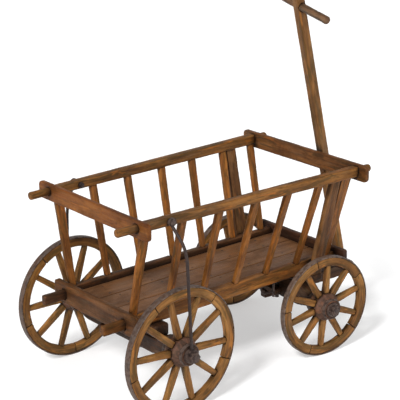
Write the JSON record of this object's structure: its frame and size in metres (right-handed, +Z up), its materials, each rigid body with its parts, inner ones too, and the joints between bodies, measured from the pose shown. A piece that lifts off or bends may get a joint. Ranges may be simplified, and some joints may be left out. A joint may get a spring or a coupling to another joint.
{
  "type": "garden handcart",
  "caption": "Wooden ladder-sided garden handcart with spoked iron-tyred wheels, a steering front carriage and a folding T-handled drawbar.",
  "frame": {"origin": "on the ground, under the middle of the outline", "axes": "+X forward to the drawbar, +Y to the cart's left, +Z up"},
  "size_m": [1.1375, 0.71, 1.151],
  "materials": {
    "band_iron": "dark, rusty",
    "board_wood": "stained, worn",
    "floor_wood": "weathered",
    "forged_iron": "dark, rusty",
    "gear_wood": "dark, weathered",
    "handle_wood": "polished by hands",
    "hub_wood": "dark, weathered",
    "nail_iron": "dark",
    "pole_wood": "stained, polished by hands",
    "rail_wood": "stained, worn",
    "slat_wood": "stained, worn",
    "tyre_iron": "worn grey",
    "wheel_wood": "stained, worn"
  },
  "bodies": {
    "root": {"bottom_board_front": "board_wood", "bottom_board_rear": "board_wood", "bottom_rail_left": "rail_wood", "bottom_rail_right": "rail_wood", "coach_bolts": "forged_iron", "floor_battens": "gear_wood", "floor_boards": "floor_wood", "floor_nails": "nail_iron", "front_bolster": "gear_wood", "front_stakes": "slat_wood", "king_pin": "forged_iron", "king_pin_nut": "forged_iron", "rail_hook": "forged_iron", "reach_pole": "gear_wood", "rear_axle_arms": "forged_iron", "rear_axle_beam": "gear_wood", "rear_axle_nuts": "forged_iron", "rear_bolster": "gear_wood", "rear_stays": "forged_iron", "rungs_left": "slat_wood", "rungs_right": "slat_wood", "top_board_front": "board_wood", "top_board_rear": "board_wood", "top_rail_left": "rail_wood", "top_rail_right": "rail_wood", "turntable_upper_plate": "forged_iron"},
    "rear_left_wheel": {"rear_left_bush": "forged_iron", "rear_left_felloes": "wheel_wood", "rear_left_hub": "hub_wood", "rear_left_hub_bands": "band_iron", "rear_left_spokes": "wheel_wood", "rear_left_tyre": "tyre_iron"},
    "rear_right_wheel": {"rear_right_bush": "forged_iron", "rear_right_felloes": "wheel_wood", "rear_right_hub": "hub_wood", "rear_right_hub_bands": "band_iron", "rear_right_spokes": "wheel_wood", "rear_right_tyre": "tyre_iron"},
    "front_left_wheel": {"front_left_bush": "forged_iron", "front_left_felloes": "wheel_wood", "front_left_hub": "hub_wood", "front_left_hub_bands": "band_iron", "front_left_spokes": "wheel_wood", "front_left_tyre": "tyre_iron"},
    "front_right_wheel": {"front_right_bush": "forged_iron", "front_right_felloes": "wheel_wood", "front_right_hub": "hub_wood", "front_right_hub_bands": "band_iron", "front_right_spokes": "wheel_wood", "front_right_tyre": "tyre_iron"},
    "front_carriage": {"front_axle_arms": "forged_iron", "front_axle_beam": "gear_wood", "front_axle_nuts": "forged_iron", "turntable_lower_plate": "forged_iron", "fork_arms": "gear_wood", "sway_bar": "gear_wood", "drawbar_bolt": "forged_iron"},
    "drawbar": {"drawbar_pole": "pole_wood", "drawbar_handle": "handle_wood", "drawbar_ferrule": "forged_iron"}
  },
  "joints": [
    {"name": "steering", "type": "hinge", "parent": "root", "child": "front_carriage", "pos_m": [0.26918, 0, 0.22], "axis": [0, 0, 1], "range_deg": [-7, 20]},
    {"name": "drawbar_lift", "type": "hinge", "parent": "front_carriage", "child": "drawbar", "pos_m": [0.53969, -0.02843, 0.175], "axis": [0.1042, 0.9917, 0.075], "range_deg": [0, 110]},
    {"name": "rear_left_spin", "type": "hinge", "parent": "root", "child": "rear_left_wheel", "pos_m": [-0.36882, 0.28, 0.2], "axis": [0, 1, 0], "continuous": true},
    {"name": "rear_right_spin", "type": "hinge", "parent": "root", "child": "rear_right_wheel", "pos_m": [-0.36882, -0.28, 0.2], "axis": [0, 1, 0], "continuous": true},
    {"name": "front_left_spin", "type": "hinge", "parent": "front_carriage", "child": "front_left_wheel", "pos_m": [0.29584, 0.2536, 0.168], "axis": [0.1045, 0.9945, 0], "continuous": true},
    {"name": "front_right_spin", "type": "hinge", "parent": "front_carriage", "child": "front_right_wheel", "pos_m": [0.24253, -0.2536, 0.168], "axis": [0.1045, 0.9945, 0], "continuous": true}
  ]
}
